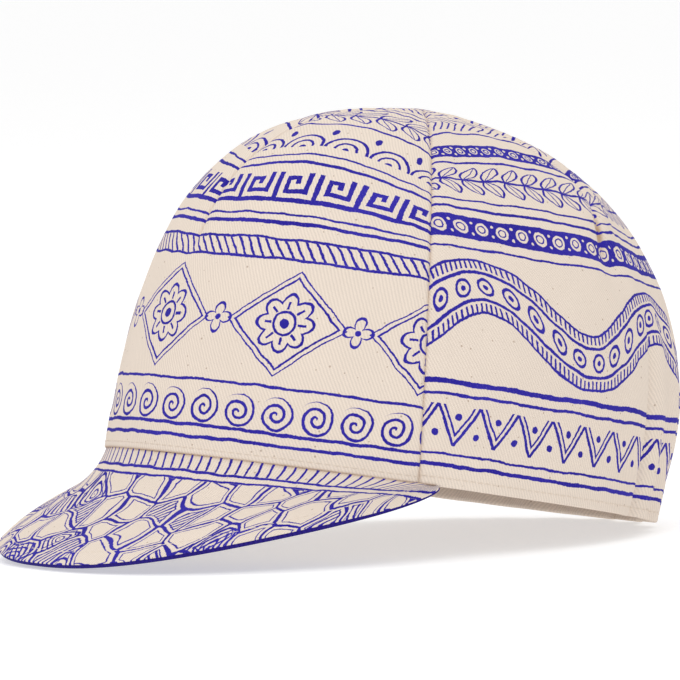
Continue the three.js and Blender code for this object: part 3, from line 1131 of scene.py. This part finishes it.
# Studio: a white room with two soft lamps, each a name, a place, a width and a power
WHITE = (1, 1, 1, 1)
SKY = 0.72
PAPER = Sizes(grey=(0.6, 0.6, 0.6, 1), roughness=0.95, glow=0.52, half_width=100)
LAMPS = [("window", (1.4, -1.9, 2.6), 1.6, 25), ("ceiling", (-0.2, 0.4, 2.6), 1.8, 14)]
LIT_POINT = (0, 0, 0.05)


def place_camera():
    side, above, roll = map(math.radians, (CAMERA.side, CAMERA.above, CAMERA.roll))
    level = math.cos(above)
    toward = Vector((math.cos(side) * level, -math.sin(side) * level, math.sin(above)))
    right = Vector((math.sin(side), math.cos(side), 0))
    up = toward.cross(right)
    image_right = right * math.cos(roll) + up * math.sin(roll)
    image_up = up * math.cos(roll) - right * math.sin(roll)
    aim = image_right * AIM.right + image_up * AIM.up
    spot = aim + toward * CAMERA.distance
    turn = Matrix((image_right, image_up, toward)).transposed()
    data = bpy.data.cameras.new("camera")
    data.sensor_width = SENSOR
    data.lens = CAMERA.pixels_per_mm * CAMERA.distance * SENSOR / FRAME_PIXELS
    data.clip_end = CAMERA.sees_to
    camera = add_object("camera", data)
    camera.matrix_world = (TURN_BACK @ turn).to_4x4()
    camera.location = TURN_BACK @ spot * MM + STAND
    bpy.context.scene.camera = camera


def add_light(name, place, size, power):
    data = bpy.data.lights.new(name, "AREA")
    data.size = size
    data.energy = power
    light = add_object(name, data)
    light.location = place
    light.rotation_euler = (Vector(LIT_POINT) - Vector(place)).to_track_quat("-Z", "Y").to_euler()


def lit_paper():
    """White floor that is also lit from below, so that shadows on it stay pale."""
    material, tree = new_material("floor_paper")
    surface = add_node(tree, "BsdfPrincipled", {
        "Base Color": PAPER.grey, "Roughness": PAPER.roughness,
        "Emission Color": WHITE, "Emission Strength": PAPER.glow})
    add_node(tree, "OutputMaterial", {0: surface.outputs[0]})
    return material


def build_studio():
    scene = bpy.context.scene
    world = bpy.data.worlds.new("studio")
    world.use_nodes = True
    sky = world.node_tree.nodes["Background"]
    sky.inputs[0].default_value = WHITE
    sky.inputs[1].default_value = SKY
    scene.world = world
    scene.view_settings.view_transform = "Standard"
    floor_mesh = bpy.data.meshes.new("floor")
    made = bmesh.new()
    bmesh.ops.create_grid(made, x_segments=1, y_segments=1, size=PAPER.half_width)
    made.to_mesh(floor_mesh)
    made.free()
    floor_mesh.materials.append(lit_paper())
    floor = add_object("floor", floor_mesh)
    for lamp in LAMPS:
        add_light(*lamp)


def mirrored(line):
    return lambda climb: -line(climb)


def upright(turn):
    """The line of the crown that keeps one turn."""
    return lambda climb: np.full_like(climb, turn)


place_camera()
thread = cotton_thread()
front_cloth = printed_cloth("printed_front", front_print)
side_cloth = printed_cloth("printed_side", side_print)
peak_cloth = printed_cloth("printed_peak", peak_print, lean=PEAK_TWILL_LEAN)
underside_cloth = blue_cloth()

front = crown_panel(
    "front_panel_cloth", "front_panel",
    [mirrored(front_seam), upright(0), front_seam],
    [FRONT_COLUMNS, FRONT_COLUMNS], FRONT_DART_END, front_cloth)
left = crown_panel(
    "left_rear_cloth", "left_rear_panel",
    [front_seam, rear_dart, upright(np.pi)],
    [SIDE_COLUMNS, BACK_COLUMNS], REAR_DART.end, side_cloth)
right = crown_panel(
    "right_rear_cloth", "right_rear_panel",
    [upright(-np.pi), mirrored(rear_dart), mirrored(front_seam)],
    [BACK_COLUMNS, SIDE_COLUMNS], REAR_DART.end, side_cloth)
peak_top = peak_cover("peak_top_cloth", "peak_top", peak_cloth, True)
peak_under = peak_cover("peak_underside_cloth", "peak_underside", underside_cloth, False)

build_studio()
